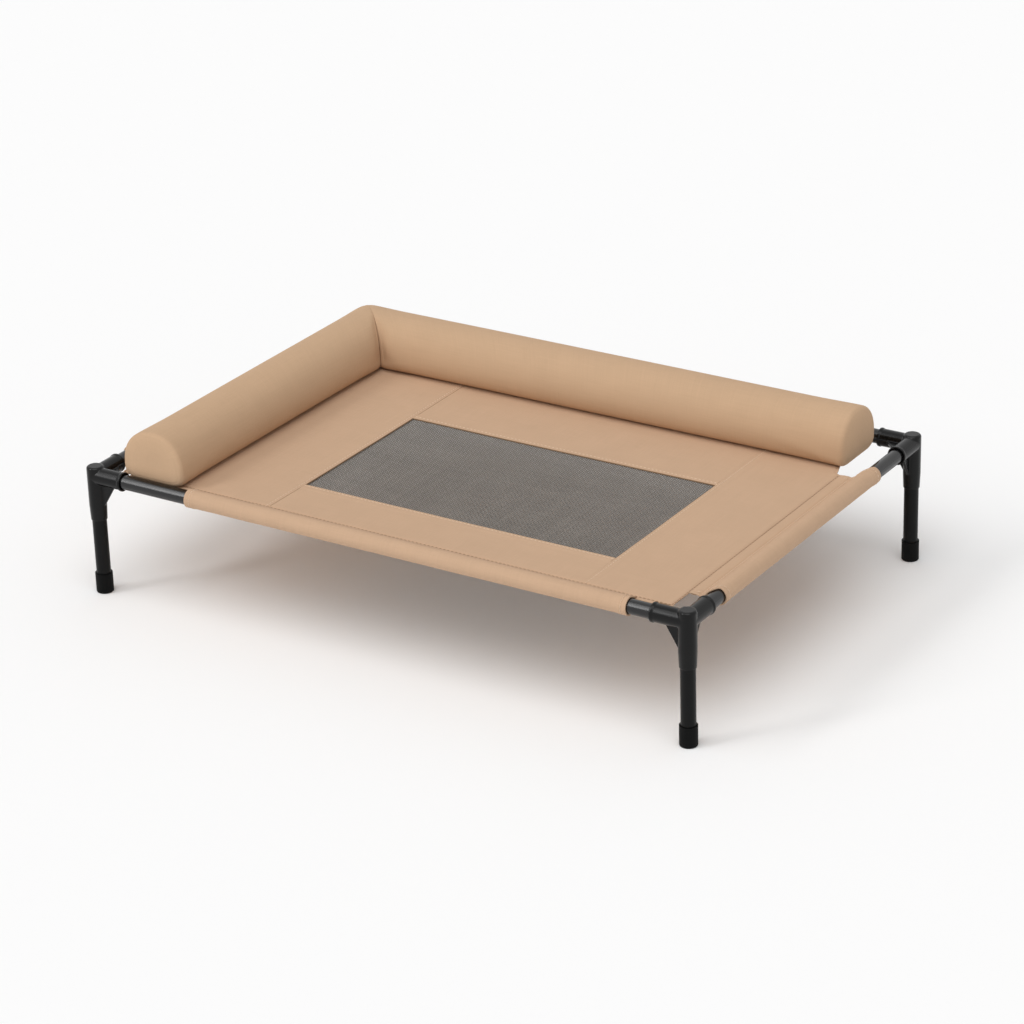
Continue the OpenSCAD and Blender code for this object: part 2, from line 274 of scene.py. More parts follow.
def woven_fabric(name, colour):
    """Plain woven cloth: crossing yarns over the flat cloth's own places, with uneven yarns, painted shade
    in the gaps between yarns, and a soft sheen."""
    cloth = Finish(
        name, Roughness=0.9, Sheen_Weight=0.06, Sheen_Roughness=0.5, Specular_IOR_Level=0.14
    )
    cloth.shader.inputs["Sheen Tint"].default_value = (1.0, 0.9, 0.78, 1.0)
    flat = cloth.add("TexCoord").outputs["UV"]
    place = cloth.add("TexCoord").outputs["Object"]
    yarn_scale = (1 / YARN_PITCH, 1 / YARN_PITCH, 1.0)
    yarns = cloth.add("Mapping", {"Vector": flat, "Scale": yarn_scale}).outputs[0]
    axes = cloth.add("SeparateXYZ", {0: yarns})
    across = cloth.math("ABSOLUTE", cloth.math("SINE", cloth.math("MULTIPLY", axes.outputs["X"], math.pi)))
    along = cloth.math("ABSOLUTE", cloth.math("SINE", cloth.math("MULTIPLY", axes.outputs["Y"], math.pi)))
    over = cloth.add("TexChecker", {"Vector": yarns, "Scale": 1.0}).outputs["Fac"]
    weave = cloth.add("Mix", {"Factor": over, 2: across, 3: along}, data_type="FLOAT").outputs[0]
    slubs_x = cloth.add("Mapping", {"Vector": flat, "Scale": (*SLUB_SCALE, 1.0)}).outputs[0]
    slubs_y = cloth.add("Mapping", {"Vector": flat, "Scale": (*SLUB_SCALE[::-1], 1.0)}).outputs[0]
    uneven = cloth.math("ADD", cloth.noise(slubs_x, 1.0), cloth.noise(slubs_y, 1.0))
    mottle = cloth.ramp(cloth.noise(place, MOTTLE_SCALE, 3.0), -MOTTLE, MOTTLE)
    # Yarns darker where the weave dips between them: painted shade
    shade = cloth.math("ADD", cloth.math("MULTIPLY", weave, YARN_GAP_PAINTED_SHADE), YARN_LOW)
    shade = cloth.math("ADD", shade, mottle)
    slubs = cloth.math("MULTIPLY", cloth.math("SUBTRACT", uneven, 1.0), SLUB_SHADE)
    shade = cloth.math("ADD", shade, slubs)
    cloth.set("Base Color", cloth.tinted(colour, shade))
    cloth.set("Roughness", cloth.ramp(cloth.noise(place, CLOTH_PATCH), *CLOTH_ROUGHNESS))
    fuzz = cloth.bump(cloth.noise(place, FUZZ_SCALE, 3.0), FUZZ_DEPTH, 0.5)
    cloth.set("Normal", cloth.bump(weave, YARN_DEPTH, 0.6, fuzz))
    return cloth.material


def coated_yarn(name, colour):
    """Coated mesh yarn: grey, with strands a little lighter and darker than each other."""
    yarn = Finish(name, Roughness=0.62, Specular_IOR_Level=0.35)
    flat = yarn.add("TexCoord").outputs["UV"]
    place = yarn.add("TexCoord").outputs["Object"]
    streak_x = yarn.add("Mapping", {"Vector": flat, "Scale": (*STREAK_SCALE, 1.0)}).outputs[0]
    streak_y = yarn.add("Mapping", {"Vector": flat, "Scale": (*STREAK_SCALE[::-1], 1.0)}).outputs[0]
    streaks = yarn.math("ADD", yarn.noise(streak_x, 1.0), yarn.noise(streak_y, 1.0))
    streaky = yarn.math("MULTIPLY", yarn.math("SUBTRACT", streaks, 1.0), STREAK_SHADE)
    shade = yarn.math("ADD", streaky, 1.0)
    cloudy = yarn.ramp(yarn.noise(place, CLOUD_SCALE), *CLOUD_SHADE)
    yarn.set("Base Color", yarn.tinted(colour, yarn.math("MULTIPLY", shade, cloudy)))
    yarn.set("Roughness", yarn.ramp(yarn.noise(place, COAT_PATCH), *COAT_ROUGHNESS))
    yarn.set("Normal", yarn.bump(yarn.noise(place, COAT_SCALE, 3.0), COAT_DEPTH, 0.5))
    return yarn.material


def twisted_thread(name, colour):
    """Sewing thread, with painted shade in the grooves along the slant of its twist."""
    thread = Finish(name, Roughness=0.7, Sheen_Weight=0.2, Specular_IOR_Level=0.3)
    place = thread.add("TexCoord").outputs["Object"]
    inputs = {"Vector": place, "Scale": TWIST_SCALE, "Distortion": 0.4}
    twist = thread.add("TexWave", inputs, bands_direction="DIAGONAL").outputs["Fac"]
    # Thread darker in the grooves of its twist: painted shade
    shade = thread.math("ADD", thread.math("MULTIPLY", twist, TWIST_GROOVE_PAINTED_SHADE), TWIST_LOW)
    thread.set("Base Color", thread.tinted(colour, shade))
    thread.set("Normal", thread.bump(twist, TWIST_DEPTH, 0.6))
    return thread.material


def hard_black(name, colour, roughness, grain, depth, specular):
    """A black hard surface: fine grain, patchy gloss, and spots rubbed a little paler or darker."""
    black = Finish(name, Specular_IOR_Level=specular)
    place = black.add("TexCoord").outputs["Object"]
    rubbed = black.ramp(black.noise(place, RUB_SCALE, 4.0), *RUB_SHADE)
    black.set("Base Color", black.tinted(colour, rubbed))
    gloss = black.noise(place, GLOSS_SCALE, 3.0)
    black.set("Roughness", black.ramp(gloss, roughness - GLOSS_SPAN, roughness + GLOSS_SPAN))
    black.set("Normal", black.bump(black.noise(place, grain, 3.0, 0.6), depth, 0.7))
    return black.material


tan_cloth = woven_fabric("tan_cloth", linear(201, 168, 139))
# The bolster's copy of the tan cloth, a little warmer: painted warm bounce light in its shade
roll_tan_painted_bounce = woven_fabric("roll_tan_painted_bounce", linear(201, 168, 136))
# Darker cloth for the deck panels' rim faces: painted shade on the hem's edge faces
painted_shade_rim = woven_fabric("painted_shade_rim", linear(158, 128, 101))
mesh_yarn = coated_yarn("mesh_yarn", linear(123, 117, 111))
# Thread for the deck's edge stitching, darker than the cloth: partly its own colour, partly painted shade
# of the furrow it lies in
edge_thread_painted_shade = twisted_thread("edge_thread_painted_shade", linear(162, 130, 102))
hem_thread = twisted_thread("hem_thread", linear(226, 200, 172))
rail_coat = hard_black(
    "rail_coat", linear(12, 12, 13), roughness=0.18, grain=2400.0, depth=0.002 * MM, specular=0.5
)
leg_coat = hard_black(
    "leg_coat", linear(10, 10, 10), roughness=0.34, grain=2400.0, depth=0.006 * MM, specular=0.16
)
black_plastic = hard_black(
    "black_plastic", linear(8, 8, 8), roughness=0.2, grain=2600.0, depth=0.003 * MM, specular=0.23
)
black_rubber = hard_black(
    "black_rubber", linear(10, 10, 10), roughness=0.6, grain=1100.0, depth=0.06 * MM, specular=0.1
)

# Tubes and feet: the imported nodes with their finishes
for side in ("front", "back", "left", "right"):
    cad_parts[side + "_rail"].data.materials[0] = rail_coat
for corner in CORNERS:
    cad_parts["leg_" + corner].data.materials[0] = leg_coat
    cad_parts["foot_" + corner].data.materials[0] = black_rubber

# Corner fittings, with the soft inside corners and edges of moulded plastic
MOULD_VOXEL = 0.45 * MM
MOULD_ROUNDS = 7
MOULD_SOFTENING = 0.5
MOULD_FACES = 0.45


def moulded_fitting(corner):
    """A corner fitting with its edges softened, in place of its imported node."""
    node = "corner_" + corner
    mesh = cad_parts[node].data.copy()
    weld = bmesh.new()
    weld.from_mesh(mesh)
    bmesh.ops.remove_doubles(weld, verts=weld.verts, dist=WELD)
    weld.to_mesh(mesh)
    weld.free()
    blank = bpy.data.objects.new("blank", mesh)
    bpy.context.scene.collection.objects.link(blank)
    remesh = blank.modifiers.new("remesh", "REMESH")
    remesh.mode = "VOXEL"
    remesh.voxel_size = MOULD_VOXEL
    soften = blank.modifiers.new("soften", "SMOOTH")
    soften.factor = MOULD_SOFTENING
    soften.iterations = MOULD_ROUNDS
    fewer = blank.modifiers.new("fewer", "DECIMATE")
    fewer.ratio = MOULD_FACES
    graph = bpy.context.evaluated_depsgraph_get()
    moulded = bpy.data.meshes.new_from_object(blank.evaluated_get(graph))
    bpy.data.objects.remove(blank)
    moulded.shade_smooth()
    piece = add_piece("fitting_" + corner, moulded, [black_plastic])
    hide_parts(node)


for corner in CORNERS:
    moulded_fitting(corner)


# Deck cloth


def deck_drop(x, y):
    """How far the deck hangs below its stitching at a place."""
    across = np.clip(1 - (x / STITCH_X) ** 2, 0, None)
    return DECK_SAG * across * np.clip(1 - (y / STITCH_Y) ** 2, 0, None)


def furrow(distance, depth):
    """The small valley that a row of stitches pulls into the cloth."""
    return -depth * np.exp(-((distance / FURROW_W) ** 2))


def hem_band(depth):
    """1 on a turned hem and 0 past it, by the depth from its folded edge."""
    return 1 - smooth((depth - HEM_W + FURROW_W) / (2 * FURROW_W))


def hem_edge(depth):
    """Height of a turned hem above and below the plain cloth, by the depth from its folded edge."""
    fold = -HEM_RISE * (1 - smooth(depth / EDGE_ROUND))
    over = HEM_RISE * hem_band(depth) + fold + furrow(depth - HEM_STITCH, HEM_FURROW)
    return over, -HEM_UNDER * hem_band(depth)


def sewn_edge(depth):
    """Height of the cloth beside the deck's outer stitching, by the depth from its edge."""
    return furrow(depth - EDGE_STITCH, EDGE_FURROW), 0 * depth


def tucked_edge(depth):
    """Height of a cloth edge that goes under its neighbour's hem."""
    return -HEM_RISE / 2 * (1 - smooth(depth / (2 * EDGE_ROUND))), 0 * depth


def graded(low, high):
    """Places from low to high, close together near both ends."""
    count = max(2, round((high - low - 2 * FINE_STEPS[-1]) / CLOTH_STEP) + 1)
    middle = np.linspace(low + FINE_STEPS[-1], high - FINE_STEPS[-1], count)
    return np.concatenate([low + FINE_STEPS[:-1], middle, high - FINE_STEPS[-2::-1]])


def border(grid):
    """The points round a grid's border, in order, back to the first."""
    return np.concatenate([grid[0, :-1], grid[:-1, -1], grid[-1, :0:-1], grid[:0:-1, 0], grid[:1, 0]])


def scooped(y):
    """How far the deck's right edge is drawn in at a place along it: by a quarter circle where the right
    sleeve's stitching ends, and then by a slant to the end of the back sleeve."""
    past = np.clip(y - SCOOP_Y - DECK_SCOOP, 0, None)
    short = np.clip(DECK_SCOOP - (y - SCOOP_Y), 0, DECK_SCOOP)
    slant = (STITCH_X - DECK_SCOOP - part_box("back_sleeve")[1].x) / (STITCH_Y - SCOOP_Y - DECK_SCOOP)
    return np.sqrt(DECK_SCOOP**2 - short**2) + slant * past


def enclosed(outline):
    """Area inside a closed outline."""
    x, y = outline.T
    return float(abs(np.sum(x[:-1] * y[1:] - x[1:] * y[:-1]))) / 2


def deck_panel(side, left, right, front, back, tab=None, scoop=False):
    """A deck panel's cloth. left, right, front and back are the shapes of its four edges. tab is the
    stretch of the front edge that runs on to the bare front rail."""
    low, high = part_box(f"deck_{side}_panel")
    front_y = -STITCH_Y if tab else low.y
    xs = graded(low.x, high.x)
    ys = graded(front_y, high.y)
    if scoop:
        turn = np.linspace(0, math.pi / 2, SCOOP_STEPS)
        ys = np.union1d(ys, SCOOP_Y + DECK_SCOOP * (1 - np.cos(turn)))
    past = np.zeros(len(ys))
    if tab:
        xs = np.union1d(xs, [tab[0] - TAB_SIDE, tab[0], tab[1], tab[1] + TAB_SIDE])
        ys = np.concatenate([np.full(TAB_STEPS, front_y), ys])
        past = np.concatenate([np.linspace(1, 0, TAB_STEPS, endpoint=False), past])
    on_tab = (xs > tab[0] - TAB_SIDE / 2) & (xs < tab[1] + TAB_SIDE / 2) if tab else 0 * xs
    share, y = np.meshgrid((xs - low.x) / (high.x - low.x), ys, indexing="ij")
    near = (front_y - on_tab * (front_y - low.y))[:, None] + 0 * y
    y = y - past[None, :] * (front_y - near)
    far = high.x - (scooped(y) if scoop else 0 * y)
    x = low.x + share * (far - low.x)
    edges = (left(x - low.x), right(far - x), front(y - front_y), back(high.y - y))
    ripple = wander(np.stack([x, y, 0 * x], axis=-1), DECK_RIPPLE_SIZE, 1)
    level = DECK_TOP - deck_drop(x, y) + DECK_RIPPLE * ripple
    flat = np.stack([x, y], axis=-1)
    edge_x = np.clip(x, low.x + EDGE_PULL, far - EDGE_PULL)
    edge_y = np.clip(y, near + EDGE_PULL, high.y - EDGE_PULL)
    top = np.stack([edge_x, edge_y, level + sum(over for over, under in edges)], axis=-1)
    under = np.minimum.reduce([under for over, under in edges])
    bottom = np.stack([edge_x, edge_y, level - FABRIC_T + under], axis=-1)
    middle = np.stack([x, y, (top[..., 2] + bottom[..., 2]) / 2], axis=-1)
    shell = Shell()
    shell.grid(top, flat)
    shell.grid(bottom, flat)
    rim = np.stack([border(top), border(middle), border(bottom)])
    # The rim faces take the darker second cloth, which is painted shade
    shell.grid(rim, np.stack([border(flat)] * 3), tone=1)
    name = side + "_panel_cloth"
    piece = add_piece(name, shell.mesh(name), [tan_cloth, painted_shade_rim])
    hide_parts(f"deck_{side}_panel")
    return piece, enclosed(border(flat))


SCOOP_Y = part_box("right_sleeve")[1].y - (RAIL_X - STITCH_X)
front_sleeve_low, front_sleeve_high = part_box("front_sleeve")
left_tab = (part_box("corner_front_left")[1].x + TAB_GAP, front_sleeve_low.x - TAB_GAP)
right_tab = (front_sleeve_high.x + TAB_GAP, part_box("corner_front_right")[0].x - TAB_GAP)
panels = {
    "left": deck_panel("left", sewn_edge, hem_edge, sewn_edge, sewn_edge, tab=left_tab),
    "right": deck_panel("right", hem_edge, sewn_edge, sewn_edge, sewn_edge, tab=right_tab, scoop=True),
    "front": deck_panel("front", tucked_edge, tucked_edge, sewn_edge, hem_edge),
    "back": deck_panel("back", tucked_edge, tucked_edge, hem_edge, sewn_edge),
}

# Sleeves round the rails
SLEEVE_FLAT_STEPS = 16
SLEEVE_ROUND_STEPS = 56
SEWN_BAND = 2 * MM
VALLEY_REACH = 4.5 * MM
VALLEY_DROP = 1.6 * MM
POCKET_STITCH = 10 * MM
POCKET_FURROW = 0.6 * MM
SLEEVE_HEM = 8 * MM
SLEEVE_HEM_RISE = 0.45 * MM
SLEEVE_FURROW = 0.4 * MM
FLAP_ROUND = 12 * MM
FLAP_TUCK = 7 * MM
END_SOFTENING = 10
SLEEVE_RIPPLE = 0.15 * MM
SLEEVE_RIPPLE_SIZE = 30 * MM
SLEEVE_HELD = 4 * MM


def loop_path(start, lower, radius, hem, creased):
    """A sleeve's section, from its stitching over the rail and back under: places are measured
    outwards from the stitching and up from the rail's axis. A creased sleeve's upper layer dips into
    a valley beside the rail, with a sewn furrow before it, and a plain one runs straight over."""

    def touch(point, side):
        across = point[0] - hem
        reach = math.hypot(across, point[1])
        return math.atan2(point[1], across) + side * math.acos(radius / reach)

    first = touch(start, -1)
    last = touch(lower, 1) - 2 * math.pi
    if creased:
        low = start[1] - VALLEY_DROP
        first = math.pi - math.asin(low / radius) - VALLEY_REACH / radius
    turn = np.linspace(first, last, SLEEVE_ROUND_STEPS)
    arc = np.stack([hem + radius * np.cos(turn), radius * np.sin(turn)], axis=-1)
    share = np.linspace(0, 1, SLEEVE_FLAT_STEPS, endpoint=False)[:, None]
    if creased:
        valley = np.array([hem - math.sqrt(radius**2 - low**2), low])
        bend = np.array(start) + (valley - np.array(start)) * (1 - VALLEY_REACH / valley[0])
        flat_run = np.array(start) * (1 - share) + bend * share
        curve = bend * (1 - share) ** 2 + valley * 2 * share * (1 - share) + arc[0] * share**2
        upper_run = np.concatenate([flat_run, curve])
        upper_run[:, 1] += furrow(upper_run[:, 0] - POCKET_STITCH, POCKET_FURROW)
    else:
        upper_run = np.array(start) * (1 - share) + arc[0] * share
    lower_run = arc[-1] * share[::-1] + np.array(lower) * (1 - share[::-1])
    return np.concatenate([upper_run, arc, lower_run])


def path_length(path):
    return np.concatenate([[0], np.cumsum(np.linalg.norm(np.diff(path, axis=0), axis=1))])


def sleeve_hem(depth):
    """Thickness of the turned hem at a sleeve's end, by the depth from the end."""
    band = SLEEVE_HEM_RISE * (1 - smooth((depth - SLEEVE_HEM) / (2 * FURROW_W)))
    return band + furrow(depth - SLEEVE_HEM + 2 * FURROW_W, SLEEVE_FURROW)


def path_normals(path):
    """Outward directions square to a section's path."""
    step = np.gradient(path, axis=0)
    step /= np.linalg.norm(step, axis=1)[:, None]
    return np.stack([-step[:, 1], step[:, 0]], axis=-1)


class Sleeve:
    """A fabric loop round one rail, with straight or curved ends."""

    def __init__(self, side, hem, creased, place, ends):
        self.side = side
        self.place = place
        self.creased = creased
        rise = DECK_TOP - RAIL_Z
        upper = (0.0, rise)
        lower = (0.0, rise - FABRIC_T)
        pocket = (SEWN_BAND, rise - FABRIC_T / 2)
        self.outer = loop_path(upper, lower, SLEEVE_R, hem, creased)
        self.inner = loop_path(pocket, pocket, SLEEVE_R - FABRIC_T, hem, creased)
        self.ends = ends

    def runs(self, path):
        """Places along the rail for each point of a path: from one end of the sleeve to the other."""
        low, high = self.ends(path)
        steps = graded(0.0, float(np.max(high) - np.min(low)))
        share = steps / steps[-1]
        return low[None, :] + share[:, None] * (high - low)[None, :], low, high

    def surface(self, path, outside):
        along, low, high = self.runs(path)
        depth = np.minimum(along - low[None, :], high[None, :] - along)
        shape = np.broadcast_to(path, (*along.shape, 2))
        places = self.place(along, shape[..., 0], shape[..., 1])
        if outside:
            ripple = SLEEVE_RIPPLE * (1 + wander(places, SLEEVE_RIPPLE_SIZE, 2))
            from_start = path_length(path)
            from_end = path_length(path[::-1])[::-1]
            held = smooth(from_start / SLEEVE_HELD) * smooth(from_end / SLEEVE_HELD)
            lift = (ripple + sleeve_hem(depth)) * held[None, :]
            moved = shape + lift[..., None] * path_normals(path)[None, :, :]
            places = self.place(along, moved[..., 0], moved[..., 1])
        length = np.broadcast_to(path_length(path), along.shape)
        return places, np.stack([along, length], axis=-1)

    def build(self):
        outside, outside_flat = self.surface(self.outer, True)
        inside, inside_flat = self.surface(self.inner, False)
        shell = Shell()
        shell.grid(outside, outside_flat)
        shell.grid(inside, inside_flat)
        for row in (0, -1):
            rim = np.stack([outside[row], inside[row]])
            shell.grid(rim, np.stack([outside_flat[row], inside_flat[row]]))
            sewn = np.stack([outside[row, [0, -1]], inside[row, [0, -1]]])
            shell.grid(sewn, np.stack([outside_flat[row, [0, -1]], inside_flat[row, [0, -1]]]))
        closing = np.stack([outside[:, 0], outside[:, -1]])
        shell.grid(closing, np.stack([outside_flat[:, 0], outside_flat[:, -1]]))
        name = self.side + "_sleeve_cloth"
        piece = add_piece(name, shell.mesh(name), [tan_cloth])
        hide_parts(self.side + "_sleeve")
        low, high = self.ends(self.outer)
        return piece


def straight_ends(node):
    """Ends of a front or back sleeve, cut square."""
    low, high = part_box(node)

    def ends(path):
        return np.full(len(path), low.x), np.full(len(path), high.x)

    return ends


def softened(values):
    """A row of values with its corners rounded off. The first and last stay as they are."""
    for _ in range(END_SOFTENING):
        middle = (values[:-2] + 2 * values[1:-1] + values[2:]) / 4
        values = np.concatenate([values[:1], middle, values[-1:]])
    return values


def curved_ends(node, hem):
    """Ends of a left or right sleeve. At the front, the flap runs straight out from the stitching and
    is rounded back to the rail, and its under layer is cut back behind it. The back end is scooped by
    a curve about the stitching."""
    low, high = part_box(node)

    def ends(path):
        out = path[:, 0]
        under = np.arange(len(path)) > np.argmax(out)
        turned = np.clip(out - hem + FLAP_ROUND, 0, FLAP_ROUND)
        rounded = FLAP_ROUND - np.sqrt(FLAP_ROUND**2 - turned**2)
        tucked = FLAP_ROUND * smooth((out - SEWN_BAND) / FLAP_TUCK)
        front = low.y + np.where(under, tucked, rounded)
        back = high.y - np.sqrt(np.clip(hem**2 - out**2, 0, None))
        return softened(front), softened(back)

    return ends


side_hem = RAIL_Y - STITCH_Y
end_hem = RAIL_X - STITCH_X
sleeves = [
    Sleeve("front", side_hem, False,
           lambda along, out, up: np.stack([along, -STITCH_Y - out, RAIL_Z + up], axis=-1),
           straight_ends("front_sleeve")),
    Sleeve("back", side_hem, False,
           lambda along, out, up: np.stack([along, STITCH_Y + out, RAIL_Z + up], axis=-1),
           straight_ends("back_sleeve")),
    Sleeve("left", end_hem, True,
           lambda along, out, up: np.stack([-STITCH_X - out, along, RAIL_Z + up], axis=-1),
           curved_ends("left_sleeve", end_hem)),
    Sleeve("right", end_hem, True,
           lambda along, out, up: np.stack([STITCH_X + out, along, RAIL_Z + up], axis=-1),
           curved_ends("right_sleeve", end_hem)),
]
sleeve_pieces = {sleeve.side: sleeve.build() for sleeve in sleeves}

# Mesh window, woven from flat strands
STRAND_PITCH = 2.45 * MM
STRAND_W = 1.8 * MM
STRAND_T = 0.4 * MM
STRAND_WAVE = 0.2 * MM


def strand_rings(centres, side):
    """Four-sided rings round the points of many strands: side is the direction across a strand."""
    up = np.array([0.0, 0.0, 1.0])
    corners = [side * STRAND_W / 2, up * STRAND_T / 2, -side * STRAND_W / 2, -up * STRAND_T / 2]
    return centres[:, :, None, :] + np.array(corners)[None, None, :, :]


def woven_strands(name):
    columns = round((mesh_high.x - mesh_low.x) / STRAND_PITCH)
    rows = round((mesh_high.y - mesh_low.y) / STRAND_PITCH)
    xs = mesh_low.x + (np.arange(columns) + 0.5) * (mesh_high.x - mesh_low.x) / columns
    ys = mesh_low.y + (np.arange(rows) + 0.5) * (mesh_high.y - mesh_low.y) / rows
    x, y = np.meshgrid(xs, ys, indexing="ij")
    over = np.where(np.add.outer(np.arange(columns), np.arange(rows)) % 2, 1.0, -1.0)
    top = mesh_high.z - HEM_UNDER - STRAND_T / 2 - STRAND_WAVE
    level = top - deck_drop(x, y)
    wefts = np.stack([x, y, level + STRAND_WAVE * over], axis=-1)
    warps = np.stack([x, y, level - STRAND_WAVE * over], axis=-1).transpose(1, 0, 2)
    points = []
    faces = []
    count = 0
    for centres, side in ((wefts, np.array([1.0, 0, 0])), (warps, np.array([0, 1.0, 0]))):
        rings = strand_rings(centres, side)
        strands, length = rings.shape[:2]
        index = count + np.arange(strands * length * 4).reshape(strands, length, 4)
        turned = np.roll(index, -1, axis=2)
        quads = (index[:, :-1], turned[:, :-1], turned[:, 1:], index[:, 1:])
        faces.append(np.stack(quads, axis=-1).reshape(-1, 4))
        faces.append(index[:, 0, ::-1].reshape(-1, 4))
        faces.append(index[:, -1].reshape(-1, 4))
        points.append(rings.reshape(-1, 3))
        count += strands * length * 4
    points = np.concatenate(points)
    faces = np.concatenate(faces)
    mesh = bpy.data.meshes.new(name)
    mesh.from_pydata(points.tolist(), [], faces.tolist())
    layer = mesh.uv_layers.new(name="cloth")
    layer.data.foreach_set("uv", points[faces.ravel(), :2].ravel())
    tidy = bmesh.new()
    tidy.from_mesh(mesh)
    bmesh.ops.recalc_face_normals(tidy, faces=tidy.faces)
    tidy.to_mesh(mesh)
    tidy.free()
    mesh.shade_smooth()
    return mesh


mesh_piece = add_piece("woven_mesh", woven_strands("woven_mesh"), [mesh_yarn])
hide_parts("mesh_window")

# Stitching
THREAD_SIDES = 6
ROW_POINTS = 60
AHEAD = 0.1 * STITCH_L
THREAD_RISE = np.array([-0.45, 0.06, 0.18, 0.06, -0.45]) * MM
THREAD_GIRTH = np.array([0.55, 1.0, 1.05, 1.0, 0.55])


class Stitching:
    """Rows of short stitches, each a small arched length of thread."""

    def __init__(self):
        self.points = []
        self.faces = []
        self.count = 0

    def one(self, centre, along, up):
        across = np.cross(up, along)
        turn = np.arange(THREAD_SIDES) * 2 * math.pi / THREAD_SIDES
        reach = np.linspace(-STITCH_L / 2, STITCH_L / 2, len(THREAD_RISE))
        spine = centre + reach[:, None] * along + THREAD_RISE[:, None] * up
        circle = np.cos(turn)[:, None] * across + np.sin(turn)[:, None] * up
        rings = spine[:, None, :] + THREAD_R * THREAD_GIRTH[:, None, None] * circle[None, :, :]
        index = self.count + np.arange(rings.shape[0] * THREAD_SIDES).reshape(-1, THREAD_SIDES)
        turned = np.roll(index, -1, axis=1)
        quads = np.stack([index[:-1], turned[:-1], turned[1:], index[1:]], axis=-1).reshape(-1, 4)
        self.points.append(rings.reshape(-1, 3))
        self.faces.extend(quads.tolist())
        self.faces.append(index[0, ::-1].tolist())
        self.faces.append(index[-1].tolist())
        self.count += rings.shape[0] * THREAD_SIDES

    def row(self, path, up):
        """Stitches along a path of points, with the direction square to the cloth at each point."""
        length = path_length(path)
        count = int(length[-1] / STITCH_PITCH)
        for k in range(count):
            at = (k + 0.5) * length[-1] / count
            centre, ahead = (
                np.array([np.interp(s, length, path[:, i]) for i in range(3)])
                for s in (at, min(at + AHEAD, length[-1]))
            )
            normal = np.array([np.interp(at, length, up[:, i]) for i in range(3)])
            along = (ahead - centre) / np.linalg.norm(ahead - centre)
            normal -= along * (normal @ along)
            self.one(centre, along, normal / np.linalg.norm(normal))

    def deck_row(self, start, end, height):
        """A straight row on the deck, from one place to another."""
        share = np.linspace(0, 1, ROW_POINTS)[:, None]
        flat = np.array(start) * (1 - share) + np.array(end) * share
        level = DECK_TOP - deck_drop(flat[:, 0], flat[:, 1]) + height
        path = np.concatenate([flat, level[:, None]], axis=1)
        self.row(path, np.tile([0.0, 0.0, 1.0], (len(path), 1)))

    def loop_row(self, sleeve, depth):
        """Two rows round a sleeve, one at each end, at a depth from the end."""
        path = sleeve.outer + SLEEVE_HEM_RISE * path_normals(sleeve.outer)
        middle = slice(SLEEVE_FLAT_STEPS // 2, -SLEEVE_FLAT_STEPS // 2)
        low, high = sleeve.ends(sleeve.outer)
        normals = path_normals(sleeve.outer)
        origin = sleeve.place(np.zeros(len(path)), np.zeros(len(path)), np.zeros(len(path)))
        up = sleeve.place(np.zeros(len(path)), normals[:, 0], normals[:, 1]) - origin
        for along in (low + depth, high - depth):
            places = sleeve.place(along, path[:, 0], path[:, 1])
            self.row(places[middle], up[middle])

    def pocket_row(self, sleeve):
        """A row along a creased sleeve, where its upper layer is sewn down beside the rail."""
        upper = sleeve.outer[: 2 * SLEEVE_FLAT_STEPS]
        seam = int(np.argmin(np.abs(upper[:, 0] - POCKET_STITCH)))
        low, high = sleeve.ends(sleeve.outer)
        along = np.linspace(low[seam] + SLEEVE_HEM, high[seam] - SLEEVE_HEM, ROW_POINTS)
        out, up = upper[seam] + np.array([0.0, THREAD_R])
        path = sleeve.place(along, np.full(len(along), out), np.full(len(along), up))
        self.row(path, np.tile([0.0, 0.0, 1.0], (len(path), 1)))

    def build(self, name, thread):
        mesh = bpy.data.meshes.new(name)
        mesh.from_pydata(np.concatenate(self.points).tolist(), [], self.faces)
        mesh.shade_smooth()
        add_piece(name, mesh, [thread])


edge_x = STITCH_X - EDGE_STITCH
edge_y = STITCH_Y - EDGE_STITCH
in_furrow = THREAD_R - EDGE_FURROW
on_hem = HEM_RISE - HEM_FURROW
edge_rows = Stitching()
edge_rows.deck_row((-edge_x, -edge_y), (edge_x, -edge_y), in_furrow)
edge_rows.deck_row((-edge_x, edge_y), (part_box("back_sleeve")[1].x, edge_y), in_furrow)
edge_rows.deck_row((-edge_x, -edge_y), (-edge_x, edge_y), in_furrow)
edge_rows.deck_row((edge_x, -edge_y), (edge_x, SCOOP_Y - EDGE_STITCH), in_furrow)
edge_rows.build("edge_stitching", edge_thread_painted_shade)

hem_rows = Stitching()
for y in (WINDOW_FRONT - HEM_STITCH, WINDOW_BACK + HEM_STITCH):
    hem_rows.deck_row((WINDOW_LEFT, y), (WINDOW_RIGHT, y), on_hem)
for x in (WINDOW_LEFT - HEM_STITCH, WINDOW_RIGHT + HEM_STITCH):
    hem_rows.deck_row((x, -edge_y), (x, edge_y), on_hem)
hem_rows.build("window_stitching", hem_thread)

sleeve_rows = Stitching()
for sleeve in sleeves:
    sleeve_rows.loop_row(sleeve, SLEEVE_HEM - 2 * FURROW_W)
    if sleeve.creased:
        sleeve_rows.pocket_row(sleeve)
sleeve_rows.build("sleeve_stitching", hem_thread)

